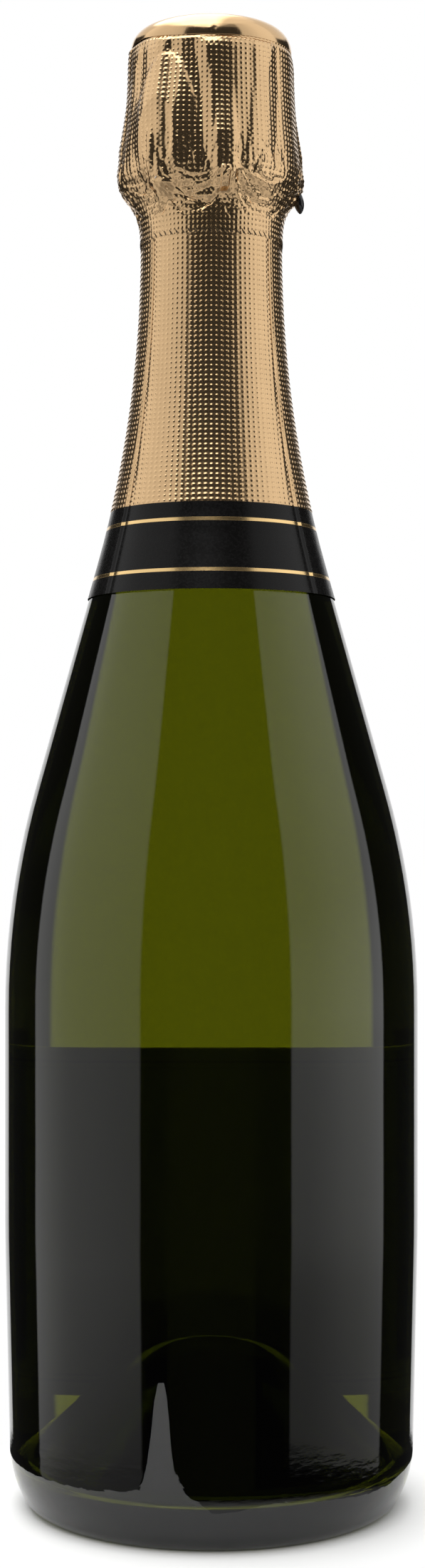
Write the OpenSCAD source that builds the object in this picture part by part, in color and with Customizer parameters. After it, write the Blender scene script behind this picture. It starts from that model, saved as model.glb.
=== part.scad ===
// A 75 cl champagne bottle, corked, wired and dressed in its foil.
// The origin is the centre of the standing ring, with the floor at z = 0 and +Z up.
// The back of the bottle faces -Y and its front label faces +Y.
// Azimuths are counted from -Y towards +X, as the back of the bottle is seen.

/* [Glass] */
// Height of the glass, from the floor to the lip
bottle_h = 300; // [296:0.5:305]
// Outer diameter of the barrel
body_d = 88.4; // [86:0.2:90]
// Outer diameter of the neck under the wire ring
neck_d = 29.6; // [29:0.1:30.4]
// Thickness of the glass wall
wall = 4.8; // [4.4:0.1:5.2]
// Length of the straight neck, between the hollow curve and the wire ring
neck_l = 13; // [8:0.5:20]
// Radius of the shoulder, seen from the side
shoulder_round = 172; // [150:1:185]
// Slope of the flank between shoulder and neck, from vertical
flank_angle = 15.8; // [15.4:0.1:17]
// Radius of the hollow curve that runs into the neck
neck_round = 250; // [200:1:260]
// Height below which the body draws in slightly
taper_z = 58; // [50:1:70]
// How much the body's radius falls between there and the heel
taper = 1.1; // [0.6:0.1:1.6]
// Radius of the slight bend where the body starts to draw in
taper_round = 400; // [200:10:500]

/* [Base] */
// Height of the heel's upper corner before it is rounded
heel_h = 8.2; // [7:0.1:10]
// How far the heel draws in from that corner to the floor
heel_inset = 3.9; // [3:0.1:5]
// Radius of the upper curve of the heel
heel_round = 22; // [14:1:28]
// Radius of the lower curve of the heel, down to the floor
foot_round = 5; // [4:0.1:5.8]
// Width of the standing ring before its two edges are rounded
standing_w = 7.2; // [6.4:0.1:9]
// Depth of the punt, outside
punt_h = 33; // [28:0.5:34]
// Radius of the punt's top before it is rounded
punt_top_r = 8; // [6:0.1:12]
// Radius of the standing ring's inner edge
punt_edge_round = 4; // [3:0.1:4.5]
// Thickness of the glass over the punt
punt_wall = 5; // [4:0.1:5.5]
// Radius of the valley between the punt and the wall, inside
inner_heel_round = 4.5; // [4:0.1:5]

/* [Finish] */
// How far the crown lip stands out from the groove under it
lip_overhang = 1.1; // [0.6:0.1:1.4]
// Height of the crown lip
lip_h = 6.4; // [5.6:0.1:6.8]
// How far the groove under the lip lies inside the neck's surface
groove_depth = 1.6; // [1:0.1:2]
// Height of the groove's floor
groove_h = 2.4; // [2:0.1:2.8]
// How far the ring that holds the wire cage stands out from the neck
ring_overhang = 2.2; // [1.6:0.1:2.6]
// Height of the upright side of that ring
ring_h = 7.2; // [6.4:0.1:7.6]
// Height of the slope above that ring, up to the groove
ring_slope_h = 2.6; // [2.2:0.1:3]
// Diameter of the bore that grips the cork
bore_d = 17.8; // [17.2:0.1:18.4]
// Length of that bore, down from the lip
bore_l = 32; // [30:0.5:36]

/* [Contents] */
// Depth of the wine's surface below the lip
fill_depth = 70.5; // [60:0.5:100]

/* [Cork] */
// Length of cork held inside the bore
cork_depth = 28; // [25:0.5:29]
// Height of the cork's head above the lip
head_h = 12; // [11:0.1:13]
// Thickness of each natural cork disc at the foot
disc_h = 5.5; // [4:0.1:7]

/* [Wire cage] */
// Diameter of the metal cap on the cork's head
plaque_d = 29.8; // [29.2:0.1:30.6]
// Thickness of the metal cap
plaque_t = 0.35; // [0.25:0.01:0.4]
// Height of the cap's turned-down rim
plaque_rim_h = 2.9; // [2.8:0.1:3.4]
// Height of the raised centre of the cap
plaque_dome_h = 1.3; // [0.8:0.1:1.6]
// How far the wire ring on top of the cap lies inside the cap's edge
top_ring_inset = 2.9; // [2.4:0.1:3.6]
// Diameter of the wire in the legs and the top ring
wire_d = 0.9; // [0.8:0.01:1]
// Diameter of the wire in the belt and its loop
belt_wire_d = 1.1; // [1:0.01:1.2]
// Length of one full twist of a leg's two wires
twist_pitch = 7; // [6:0.1:9]
// Length of one full twist of the loop's stem
stem_pitch = 3.6; // [3.2:0.1:4.5]
// Height of the loop's eye
loop_eye_h = 8.6; // [7:0.1:9]
// Width of the loop's eye, between wire centres
loop_eye_w = 7.6; // [6:0.1:8]

/* [Foil] */
// Thickness of the foil with its embossing
foil_t = 0.25; // [0.15:0.01:0.3]
// Depth of the foil's lower edge below the lip
foil_depth = 106.8; // [100:0.1:112]
// Height of the dark printed border
border_h = 18.5; // [12:0.1:24]
// Depth of the tear line below the wire ring
tear_depth = 12.7; // [9:0.1:18]
// Width of a pleat where the foil is folded over itself
pleat_w = 3.6; // [2:0.1:5]
// Azimuth of the two pleats beside the back's middle, left and right
pleat_azimuth = 54; // [45:1:60]
// Height of the top disc's turned-down side
cap_side_h = 4.25; // [4:0.05:5]
// Radius of the top disc's rounded edge
cap_round = 4.1; // [3.6:0.1:4.2]

/* [Label] */
// Width of the paper label, laid flat
label_w = 104; // [80:1:120]
// Height of the paper label
label_h = 77; // [60:1:80]
// Height of the label's lower edge above the floor
label_z = 18.3; // [16:0.1:24]
// Thickness of the label paper
label_t = 0.15; // [0.1:0.01:0.2]

/* [Hidden] */
$fn = 96;

// How far an arc may lie from its chords
arc_fineness = 0.02;
// Clearances: a glued skin, wine against glass, the cork in its bore, wire against glass or cap
skin_gap = 0.05;
wine_gap = 0.1;
cork_gap = 0.05;
cage_gap = 0.1;
// Clearance between the two wires of a twisted pair
strand_gap = 0.04;
// Clearance of the crumpled hood from what it covers
hood_gap = 0.15;

body_r = body_d / 2;
base_r = body_r - taper;
foot_r = base_r - heel_inset;
neck_r = neck_d / 2;
groove_r = neck_r - groove_depth;
lip_r = groove_r + lip_overhang;
ring_r = neck_r + ring_overhang;
bore_r = bore_d / 2;

// Heights of the finish, counted down from the lip
groove_top_z = bottle_h - lip_h;
groove_z = groove_top_z - groove_h;
ring_top_z = groove_z - ring_slope_h;
ring_z = ring_top_z - ring_h;

// Heights of the two corners that the neck and shoulder curves round off, counted down too
neck_corner_z = ring_z - neck_l - neck_round * tan(flank_angle / 2);
shoulder_corner_z = neck_corner_z - (body_r - neck_r) / tan(flank_angle);

// Heights that follow the lip and the wire ring
fill_z = bottle_h - fill_depth;
skirt_z = bottle_h - foil_depth;
tear_z = ring_z - tear_depth;

// Small roundings of the finish
ring_round = 1.6;
ring_root_round = 0.8;
ring_undercut = 0.6;
groove_round = 0.9;
lip_round = 1.9;
lip_inner_round = 1.5;
lip_root_round = 0.7;

// Plain geometry helpers
function unit(v) = v / norm(v);
function clamp01(t) = max(0, min(1, t));
function fade(x, from, to) = let (t = clamp01((x - from) / (to - from))) t * t * (3 - 2 * t);
function reverse(list) = [for (i = [len(list) - 1:-1:0]) list[i]];
function angle_gap(a, b) = abs((a - b + 540) % 360 - 180);

// Half the angle at corner b, and how much of each side an arc of a given radius takes there
function half_angle(a, b, c) = acos(max(-1, min(1, unit(a - b) * unit(c - b)))) / 2;
function arc_cut(a, b, c, radius) = radius / tan(half_angle(a, b, c));

// The arc that rounds corner b between its neighbours a and c
function corner_arc(a, b, c, radius) =
    let (
        u = unit(a - b),
        w = unit(c - b),
        half = half_angle(a, b, c),
        centre = b + unit(u + w) * radius / sin(half),
        start = b + u * radius / tan(half) - centre,
        turn = (180 - 2 * half) * sign(u[1] * w[0] - u[0] * w[1]),
        steps = max(2, ceil(abs(turn) / (2 * acos(1 - arc_fineness / radius))))
    )
    [for (i = [0:steps]) let (t = turn * i / steps)
        centre + [start[0] * cos(t) - start[1] * sin(t), start[0] * sin(t) + start[1] * cos(t)]];

// A path through corners [r, z, rounding]: each corner with a rounding becomes its arc.
// Where two arcs together need more than the side between them, both shrink alike.
function rounded(corners) =
    let (
        last = len(corners) - 1,
        p = [for (c = corners) [c[0], c[1]]],
        cuts = [for (i = [0:last])
            i > 0 && i < last && len(corners[i]) > 2
                ? arc_cut(p[i - 1], p[i], p[i + 1], corners[i][2])
                : 0]
    )
    [for (i = [0:last]) each (cuts[i] == 0 ? [p[i]] :
        let (fit = min(1, norm(p[i] - p[i - 1]) / (cuts[i] + cuts[i - 1]),
            norm(p[i + 1] - p[i]) / (cuts[i] + cuts[i + 1])))
        corner_arc(p[i - 1], p[i], p[i + 1], corners[i][2] * fit))];

// A lathe-turned solid from a closed outline in radius and height
module turned(outline) {
    rotate_extrude() polygon(outline);
}

// The outside of the glass, from the top of the punt to the lip's inner edge
punt_mouth_r = foot_r - standing_w;
punt_angle = atan((punt_mouth_r - punt_top_r) / punt_h);
function punt_corner_r(thick) =
    punt_mouth_r + thick * cos(punt_angle)
    - (punt_h + thick - thick * sin(punt_angle)) * tan(punt_angle);
function dome_round(thick) = punt_corner_r(thick) / tan((90 - punt_angle) / 2);

punt_corners = [
    [-punt_corner_r(0), punt_h],
    [punt_corner_r(0), punt_h, dome_round(0)],
    [punt_mouth_r, 0, punt_edge_round]
];
side_corners = [
    [foot_r, 0, foot_round],
    [base_r, heel_h, heel_round],
    [body_r, taper_z, taper_round],
    [body_r, shoulder_corner_z, shoulder_round],
    [neck_r, neck_corner_z, neck_round],
    [neck_r, ring_z, ring_root_round]
];
finish_corners = [
    [ring_r, ring_z + ring_undercut, ring_round],
    [ring_r, ring_top_z, ring_round],
    [groove_r, groove_z, groove_round],
    [groove_r, groove_top_z, lip_root_round],
    [lip_r, groove_top_z + (lip_r - groove_r), lip_root_round],
    [lip_r, bottle_h, lip_round],
    [bore_r, bottle_h, lip_inner_round]
];

// The inside of the glass, from the bore to the top of the punt, inset by a clearance
function cavity_corners(inset) =
    let (
        thick = wall + inset,
        over = punt_wall + inset,
        lift = thick * tan(flank_angle / 2),
        throat_r = bore_r - inset,
        throat_z = neck_corner_z - lift + (neck_r - thick - throat_r) / tan(flank_angle),
        throat_round = (bottle_h - bore_l - throat_z) / tan(flank_angle / 2),
        valley_z = over * sin(punt_angle)
            - (base_r - thick - punt_mouth_r - over * cos(punt_angle)) / tan(punt_angle)
    )
    [
        [throat_r, throat_z, throat_round],
        [body_r - thick, shoulder_corner_z - lift, shoulder_round - thick],
        [body_r - thick, taper_z, taper_round],
        [base_r - thick, valley_z, inner_heel_round],
        [punt_corner_r(over), punt_h + over, dome_round(over)],
        [-punt_corner_r(over), punt_h + over]
    ];

function right_half(path) = [for (p = path) [max(0, p[0]), p[1]]];
glass_path = rounded(concat(punt_corners, side_corners, finish_corners, cavity_corners(0)));
glass_outline = right_half([for (i = [1:len(glass_path) - 2]) glass_path[i]]);

// Radius of the glass outside, at any height between the heel and the wire ring
side_path = rounded(concat([[punt_mouth_r, 0]], side_corners, [[ring_r, ring_z]]));
side_table = [for (p = side_path) if (p[1] > 0) [p[1], p[0]]];
function glass_r(z) = lookup(z, side_table);

module bottle() {
    color([0.13, 0.19, 0.08]) turned(glass_outline);
}

module wine() {
    path = rounded(concat([[bore_r - wine_gap, bottle_h]], cavity_corners(wine_gap)));
    pool = right_half([for (i = [0:len(path) - 2]) path[i]]);
    color([0.78, 0.7, 0.3]) intersection() {
        turned(concat([[0, bottle_h]], pool));
        cylinder(r = body_r, h = fill_z);
    }
}

// Skins on the glass: a sheet that follows the glass between two heights and two azimuths
skin_rows = 16;
module skin(z0, z1, gap, thick, from = 0, to = 360) {
    heights = [for (i = [0:skin_rows]) z0 + (z1 - z0) * i / skin_rows];
    rotate(from - 90) rotate_extrude(angle = to - from) polygon(concat(
        [for (z = heights) [glass_r(z) + gap + thick, z]],
        [for (z = reverse(heights)) [glass_r(z) + gap, z]]
    ));
}

// Foil wrapped on the neck, with four pleats where its extra width is folded over
pleat_azimuths = [-pleat_azimuth, pleat_azimuth, 180 - pleat_azimuth, 180 + pleat_azimuth];
module wrapped_foil(z0, z1) {
    half = pleat_w / (2 * PI * glass_r(z1)) * 180;
    skin(z0, z1, skin_gap, foil_t);
    for (a = pleat_azimuths)
        skin(z0, z1, skin_gap + foil_t / 2, foil_t * 3 / 2, a - half, a + half);
}

module foil_skirt() {
    color([0.8, 0.66, 0.42]) wrapped_foil(skirt_z + border_h, tear_z);
}

module foil_border() {
    color([0.08, 0.08, 0.08]) wrapped_foil(skirt_z, skirt_z + border_h);
}

module front_label() {
    half = label_w / (2 * PI * body_r) * 180;
    color([0.93, 0.91, 0.86])
        skin(label_z, label_z + label_h, skin_gap, label_t, 180 - half, 180 + half);
}

// The cork: a shank pressed into the bore and a head bulging over the lip,
// squeezed at its top by the metal cap's rim
cork_r = bore_r - cork_gap;
cork_foot_z = bottle_h - cork_depth;
head_z = bottle_h + skin_gap;
cork_top_z = bottle_h + head_h;
cork_chamfer = 0.6;
cork_root_round = 0.9;
head_lower_round = 2.6;
head_upper_round = 2.3;
squeeze_round = 0.2;

// The metal cap on the cork, pressed from sheet: a rim, a channel and a raised centre
plaque_r = plaque_d / 2;
head_r = plaque_r - skin_gap;
channel_z = cork_top_z + skin_gap + plaque_t;
rim_z = channel_z - plaque_rim_h;
squeeze_r = plaque_r - plaque_t - skin_gap;

module cork_body() {
    foot = cork_foot_z + 2 * disc_h;
    color([0.78, 0.6, 0.4]) turned(concat([[0, foot]], rounded([
        [cork_r, foot],
        [cork_r, head_z, cork_root_round],
        [head_r, head_z, head_lower_round],
        [head_r, rim_z - cage_gap - (head_r - squeeze_r), squeeze_round],
        [squeeze_r, rim_z - cage_gap, squeeze_round],
        [squeeze_r, cork_top_z, head_upper_round],
        [0, cork_top_z]
    ])));
}

module cork_disc_upper() {
    color([0.72, 0.52, 0.32]) translate([0, 0, cork_foot_z + disc_h]) cylinder(r = cork_r, h = disc_h);
}

module cork_disc_lower() {
    color([0.66, 0.46, 0.28]) translate([0, 0, cork_foot_z]) {
        cylinder(r1 = cork_r - cork_chamfer, r2 = cork_r, h = cork_chamfer);
        translate([0, 0, cork_chamfer]) cylinder(r = cork_r, h = disc_h - cork_chamfer);
    }
}

// Roundings and slopes of the pressed cap
plaque_round = 2.6;
top_ring_r = plaque_r - top_ring_inset;
dome_r = top_ring_r - wire_d / 2 - cage_gap;
dome_round_r = 0.6;
dome_slope = plaque_dome_h * 0.6;

function plaque_path(t) = rounded([
    [plaque_r - t, rim_z],
    [plaque_r - t, channel_z - t, plaque_round - t],
    [dome_r - t, channel_z - t, dome_round_r + t],
    [dome_r - dome_slope - t, channel_z + plaque_dome_h - t, dome_round_r],
    [0, channel_z + plaque_dome_h - t]
]);

module plaque() {
    color([0.75, 0.62, 0.3]) turned(concat(plaque_path(0), reverse(plaque_path(plaque_t))));
}

// Wire swept along points, with a reference direction at each point to square its section
wire_sides = 6;
module wire(points, references, radius) {
    last = len(points) - 1;
    rings = [for (i = [0:last])
        let (
            along = unit(points[min(i + 1, last)] - points[max(i - 1, 0)]),
            side = unit(cross(along, references[i])),
            up = cross(side, along)
        )
        [for (k = [0:wire_sides - 1]) let (a = 360 * k / wire_sides)
            points[i] + radius * (cos(a) * side + sin(a) * up)]
    ];
    n = wire_sides;
    polyhedron(
        points = [for (ring = rings) each ring],
        faces = concat(
            [[for (k = [n - 1:-1:0]) k]],
            [for (i = [0:last - 1], k = [0:n - 1]) let (a = i * n + k, b = i * n + (k + 1) % n)
                each [[a, b, a + n], [b, b + n, a + n]]],
            [[for (k = [0:n - 1]) last * n + k]]
        )
    );
}

// A radial plane at azimuth 0: radius runs towards -Y, height along +Z, and u towards +X
function radial_point(r, z, u) = [u, -r, z];

// Distances along a path in radius and height, and the point and normal at any of them
function path_marks(path, i = 0, so_far = 0) = i == len(path) ? [] :
    let (d = so_far + (i == 0 ? 0 : norm(path[i] - path[i - 1])))
    concat([d], path_marks(path, i + 1, d));
function path_tables(path) = let (marks = path_marks(path)) [
    [for (i = [0:len(path) - 1]) [marks[i], path[i][0]]],
    [for (i = [0:len(path) - 1]) [marks[i], path[i][1]]],
    marks[len(marks) - 1]
];
function path_at(tables, d) = [lookup(d, tables[0]), lookup(d, tables[1])];
function path_normal(tables, d) =
    let (reach = wire_d, t = unit(path_at(tables, d + reach) - path_at(tables, d - reach)))
    [-t[1], t[0]];

// How far each wire of a twisted pair lies from the pair's own middle line
twist_steps = 10;
function pair_offset(wire_thick) = (wire_thick + strand_gap) / (2 * cos(180 / twist_steps));

// One wire of a twisted pair that follows a path in the radial plane
module strand(tables, wire_thick, pitch, phase) {
    off = pair_offset(wire_thick);
    steps = ceil(tables[2] / pitch * twist_steps);
    marks = [for (i = [0:steps]) tables[2] * i / steps];
    wire(
        [for (d = marks)
            let (p = path_at(tables, d), n = path_normal(tables, d), a = 360 * d / pitch + phase)
            radial_point(p[0] + off * sin(a) * n[0], p[1] + off * sin(a) * n[1], off * cos(a))],
        [for (d = marks) let (n = path_normal(tables, d)) radial_point(n[0], n[1], 0)],
        wire_thick / 2
    );
}

// The belt lies under the bottle's wire ring and passes through the eyes of the four legs
eye_r = belt_wire_d / 2 + skin_gap + wire_d / 2;
belt_r = neck_r + cage_gap + wire_d + skin_gap + belt_wire_d / 2;
belt_z = ring_z - cage_gap - eye_r - wire_d / 2;

// A leg leaves the top ring, bends over the cap and runs down outside the wire ring
pair_r = pair_offset(wire_d) + wire_d / 2;
leg_top_z = channel_z + cage_gap + pair_r;
leg_start_r = top_ring_r + wire_d / 2 + cage_gap;
leg_head_r = plaque_r + cage_gap + pair_r;
leg_ring_r = ring_r + cage_gap + pair_r;
leg_bend = plaque_round + pair_r;
leg_waist_z = bottle_h + head_lower_round;
leg_soft_bend = 14;
leg_path = rounded([
    [leg_start_r, leg_top_z],
    [leg_head_r, leg_top_z, leg_bend],
    [leg_head_r, leg_waist_z, leg_soft_bend],
    [leg_ring_r, ring_top_z, leg_soft_bend],
    [leg_ring_r, ring_z]
]);
leg_tables = path_tables(leg_path);

// Azimuths of the legs: the back leg stands a little to the right of the middle
leg_azimuth = 9;
loop_azimuth = -36;

module cage_leg(azimuth) {
    color([0.72, 0.72, 0.7]) rotate(azimuth) {
        strand(leg_tables, wire_d, twist_pitch, 0);
        strand(leg_tables, wire_d, twist_pitch, 180);
    }
}
module cage_leg_back() { cage_leg(leg_azimuth); }
module cage_leg_right() { cage_leg(leg_azimuth + 90); }
module cage_leg_front() { cage_leg(leg_azimuth + 180); }
module cage_leg_left() { cage_leg(leg_azimuth + 270); }

module cage_top_ring() {
    color([0.72, 0.72, 0.7]) translate([0, 0, channel_z + skin_gap + wire_d / 2])
        rotate_extrude() translate([top_ring_r, 0]) circle(d = wire_d);
}

// The belt's two tails turn outwards to the foot of the loop, which stands just outside
// the wire ring and turns about its foot when it is pulled down
stem_off = pair_offset(belt_wire_d);
loop_pair_r = stem_off + belt_wire_d / 2;
stem_l = 1.25 * stem_pitch;
tail_bend = 0.75 * belt_wire_d;
tail_l = 0.15 * belt_wire_d;
tail_end_gap = cage_gap + loop_pair_r;
loop_r = max(ring_r + cage_gap + loop_pair_r, belt_r + tail_bend + tail_l + tail_end_gap);

belt_steps = 72;
bend_steps = 3;
module belt_wire() {
    reach = asin((stem_off + tail_bend) / belt_r);
    // Half of the route, as [r, u] in the radial plane of the loop
    tail = concat(
        [[loop_r - tail_end_gap, stem_off]],
        [for (i = [0:bend_steps]) let (a = 90 * i / bend_steps)
            [belt_r + tail_bend * (1 - sin(a)), stem_off + tail_bend * (1 - cos(a))]]
    );
    round = [for (i = [1:belt_steps]) let (a = reach + (360 - 2 * reach) * i / (belt_steps + 1))
        [belt_r * cos(a), belt_r * sin(a)]];
    far_tail = [for (p = reverse(tail)) [p[0], -p[1]]];
    route = [for (p = concat(tail, round, far_tail)) radial_point(p[0], 0, p[1])];
    wire(route, [for (p = route) [0, 0, 1]], belt_wire_d / 2);
}

module cage_belt() {
    color([0.72, 0.72, 0.7]) translate([0, 0, belt_z]) {
        rotate(loop_azimuth) belt_wire();
        for (i = [0:3]) rotate(leg_azimuth + 90 * i) translate([0, -belt_r, 0]) rotate([0, 90, 0])
            rotate_extrude() translate([eye_r, 0]) circle(d = wire_d);
    }
}

// One unbroken wire: up the twisted stem, round the eye and down the stem again
loop_eye_steps = 24;
function stem_point(d, phase) =
    let (a = 360 * (d - stem_l) / stem_pitch + phase)
    radial_point(loop_r + stem_off * sin(a), belt_z + d, stem_off * cos(a));
module cage_loop() {
    steps = ceil(stem_l / stem_pitch * twist_steps);
    marks = [for (i = [0:steps]) stem_l * i / steps];
    open_angle = asin(2 * stem_off / loop_eye_w);
    centre_z = belt_z + stem_l + loop_eye_h / 2 * cos(open_angle);
    eye = [for (i = [1:loop_eye_steps - 1])
        let (a = -90 + open_angle + (360 - 2 * open_angle) * i / loop_eye_steps)
        radial_point(loop_r, centre_z + loop_eye_h / 2 * sin(a), loop_eye_w / 2 * cos(a))];
    points = concat([for (d = marks) stem_point(d, 0)], eye,
        [for (d = reverse(marks)) stem_point(d, 180)]);
    color([0.72, 0.72, 0.7]) rotate(loop_azimuth)
        wire(points, [for (p = points) radial_point(1, 0, 0)], belt_wire_d / 2);
}

// The top disc of the foil, a shallow dish over the cap and the wires
cap_r = leg_head_r + pair_r + skin_gap + foil_t;
cap_top_z = leg_top_z + pair_r + cage_gap + foil_t;
cap_edge_z = cap_top_z - cap_side_h;
function cap_path(t) = rounded([
    [cap_r - t, cap_edge_z],
    [cap_r - t, cap_top_z - t, cap_round - t],
    [0, cap_top_z - t]
]);
module foil_top_disc() {
    color([0.84, 0.7, 0.45]) turned(concat(cap_path(0), reverse(cap_path(foil_t))));
}

// The crumpled hood: one sheet pressed between the legs, drawn in below the wire ring.
// Its radius runs between a valley line and the crests over the legs and the loop.
hood_columns = 72;
hood_rows = 22;
hood_top_z = cap_edge_z - cage_gap;
gather_h = 4;
pleat_depth = 0.75;
crumple_depth = 0.45;
eye_outer = belt_r + eye_r + wire_d / 2;
valley_table = [
    [tear_z, glass_r(tear_z) + skin_gap],
    [belt_z - gather_h, neck_r + hood_gap],
    [belt_z - belt_wire_d, belt_r + belt_wire_d / 2 + hood_gap],
    [ring_z, ring_r + hood_gap],
    [ring_top_z, ring_r + hood_gap],
    [groove_top_z, lip_r + hood_gap + pleat_depth],
    [bottle_h + head_lower_round, max(head_r, lip_r) + hood_gap],
    [hood_top_z, max(head_r, plaque_r) + hood_gap]
];
function leg_r_at(z) = lookup(z, [for (p = reverse(leg_path)) [p[1], p[0]]]);
crest_table = concat(
    [
        [tear_z, glass_r(tear_z) + skin_gap],
        [belt_z - gather_h, neck_r + hood_gap],
        [belt_z - eye_r - wire_d, belt_r + eye_r + hood_gap],
        [belt_z - eye_r, eye_outer + hood_gap]
    ],
    [for (i = [0:6]) let (z = ring_z + (hood_top_z - ring_z) * i / 6)
        [z, leg_r_at(z) + pair_r + 2 * hood_gap]]
);
loop_table = [
    [belt_z - gather_h, neck_r + hood_gap],
    [belt_z - belt_wire_d, loop_r + loop_pair_r + hood_gap],
    [belt_z + stem_l + belt_wire_d, loop_r + loop_pair_r + hood_gap],
    [belt_z + stem_l + loop_eye_h + belt_wire_d, loop_r + belt_wire_d + hood_gap],
    [groove_top_z + 2 * gather_h, lip_r + hood_gap]
];
leg_crest_angles = [6, 22];
loop_crest_angles = [17, 30];
function leg_share(a) = max([for (i = [0:3])
    1 - fade(angle_gap(a, leg_azimuth + 90 * i), leg_crest_angles[0], leg_crest_angles[1])]);
function loop_share(a) =
    1 - fade(angle_gap(a, loop_azimuth), loop_crest_angles[0], loop_crest_angles[1]);
function pleats(a, z) =
    pleat_depth * fade(z, ring_z, groove_top_z) * pow(0.5 + 0.5 * sin(17 * a + 40 * sin(3 * a)), 2);
function crumples(a, z) =
    let (turn = 360 * (z - belt_z) / (2 * gather_h))
    crumple_depth * fade(z, belt_z - gather_h, belt_z) * (1 - fade(z, ring_z, ring_top_z + gather_h))
    * (0.5 + 0.5 * sin(11 * a + turn) * sin(7 * a - turn));
function hood_r(a, z) =
    let (
        valley = lookup(z, valley_table),
        crest = max(valley, lookup(z, crest_table)),
        loop = max(valley, lookup(z, loop_table)),
        over = max(valley + (crest - valley) * leg_share(a), valley + (loop - valley) * loop_share(a))
    )
    over + (pleats(a, z) + crumples(a, z)) * (1 - leg_share(a));

module foil_hood() {
    n = hood_columns;
    rows = [for (i = [0:hood_rows - 1]) tear_z + (hood_top_z - tear_z) * i / (hood_rows - 1)];
    count = n * hood_rows;
    sheet = [for (extra = [foil_t, 0], z = rows, k = [0:n - 1])
        let (a = leg_azimuth + 360 * k / n, r = hood_r(a, z) + extra)
        [r * sin(a), -r * cos(a), z]];
    top = (hood_rows - 1) * n;
    color([0.84, 0.7, 0.45]) polyhedron(
        points = sheet,
        faces = [for (k = [0:n - 1]) let (m = (k + 1) % n) each concat(
            [for (i = [0:hood_rows - 2]) let (a = i * n + k, b = i * n + m)
                each [[a, a + n, b], [b, a + n, b + n],
                    [count + a, count + b, count + a + n], [count + b, count + b + n, count + a + n]]],
            [[k, m, count + k], [m, count + m, count + k]],
            [[top + k, count + top + k, top + m], [top + m, count + top + k, count + top + m]]
        )]
    );
}

bottle();
wine();
foil_skirt();
foil_border();
front_label();
cork_body();
cork_disc_upper();
cork_disc_lower();
plaque();
cage_top_ring();
cage_leg_back();
cage_leg_right();
cage_leg_front();
cage_leg_left();
cage_belt();
cage_loop();
foil_hood();
foil_top_disc();
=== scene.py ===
"""A corked champagne bottle on a pale floor, dressed in its glass, foils, label, cork and wire."""

import math

import bmesh
import bpy
import numpy as np
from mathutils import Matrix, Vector


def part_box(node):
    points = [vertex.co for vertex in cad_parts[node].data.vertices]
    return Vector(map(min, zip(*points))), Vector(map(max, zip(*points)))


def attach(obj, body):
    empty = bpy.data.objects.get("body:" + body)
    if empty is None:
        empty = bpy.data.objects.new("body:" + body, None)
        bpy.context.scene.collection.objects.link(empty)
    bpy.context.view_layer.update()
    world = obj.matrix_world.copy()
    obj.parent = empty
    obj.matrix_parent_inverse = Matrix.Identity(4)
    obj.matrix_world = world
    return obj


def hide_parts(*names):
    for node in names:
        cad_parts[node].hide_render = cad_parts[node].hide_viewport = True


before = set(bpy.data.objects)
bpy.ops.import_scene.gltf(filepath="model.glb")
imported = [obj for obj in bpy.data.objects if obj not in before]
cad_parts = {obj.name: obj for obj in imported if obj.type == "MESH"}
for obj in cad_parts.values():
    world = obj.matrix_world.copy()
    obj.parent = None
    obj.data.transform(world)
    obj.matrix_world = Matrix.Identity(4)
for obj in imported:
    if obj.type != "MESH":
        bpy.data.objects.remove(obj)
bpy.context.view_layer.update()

# Lengths are written in millimetres, as in the part, and one MM is that many metres.
MM = 0.001

# Sizes of the glass, as in the part
BOTTLE_H = 300.0
BODY_R = 44.2
BASE_R = 43.1
FOOT_R = 39.2
NECK_R = 14.8
WALL = 4.8
TAPER_Z = 58.0
TAPER_ROUND = 400.0
HEEL_H = 8.2
HEEL_ROUND = 22.0
FOOT_ROUND = 5.0
SHOULDER_ROUND = 172.0
FLANK_ANGLE = math.radians(15.8)
NECK_ROUND = 250.0
NECK_STRAIGHT = 13.0
PUNT_H = 33.0
PUNT_TOP_R = 8.0
PUNT_MOUTH_R = 32.0
PUNT_EDGE_ROUND = 4.0
PUNT_WALL = 5.0
INNER_HEEL_ROUND = 4.5
LIP_H = 6.4
LIP_R = 14.3
GROOVE_H = 2.4
GROOVE_R = 13.2
RING_R = 17.0
RING_H = 7.2
RING_SLOPE_H = 2.6
BORE_R = 8.9
BORE_L = 32.0
FILL_Z = 229.5
GROOVE_TOP_Z = BOTTLE_H - LIP_H
GROOVE_Z = GROOVE_TOP_Z - GROOVE_H
RING_TOP_Z = GROOVE_Z - RING_SLOPE_H
RING_Z = RING_TOP_Z - RING_H
NECK_CORNER_Z = RING_Z - NECK_STRAIGHT - NECK_ROUND * math.tan(FLANK_ANGLE / 2)
SHOULDER_CORNER_Z = NECK_CORNER_Z - (BODY_R - NECK_R) / math.tan(FLANK_ANGLE)
PUNT_ANGLE = math.atan((PUNT_MOUTH_R - PUNT_TOP_R) / PUNT_H)

# Heights on the neck foil
SKIRT_Z = 193.2
BORDER_TOP_Z = 211.7
TEAR_Z = 268.7
HOOD_TOP_Z = 310.388
FOIL_T = 0.25
SKIN_GAP = 0.05

# Places of the wire cage under the hood
LEG_AZIMUTH = 9.0
LOOP_AZIMUTH = -36.0


def smooth_step(x, low, high):
    t = np.clip((x - low) / (high - low), 0, 1)
    return t * t * (3 - 2 * t)


def plateau(x, rise, fall):
    """1 between rise and fall, each a pair of values over which it goes up or down."""
    return smooth_step(x, *rise) * (1 - smooth_step(x, *fall))


def hump(x, middle, half_width):
    return np.exp(-(((x - middle) / half_width) ** 2))


def angle_from(a, b):
    """Signed angle in degrees from b to a, between -180 and 180."""
    return (a - b + 180) % 360 - 180


# Outlines: corners (radius, height, rounding) become points with their outward normals

ARC_STEP = math.radians(3)
LONGEST_STEP = 5.0


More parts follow.
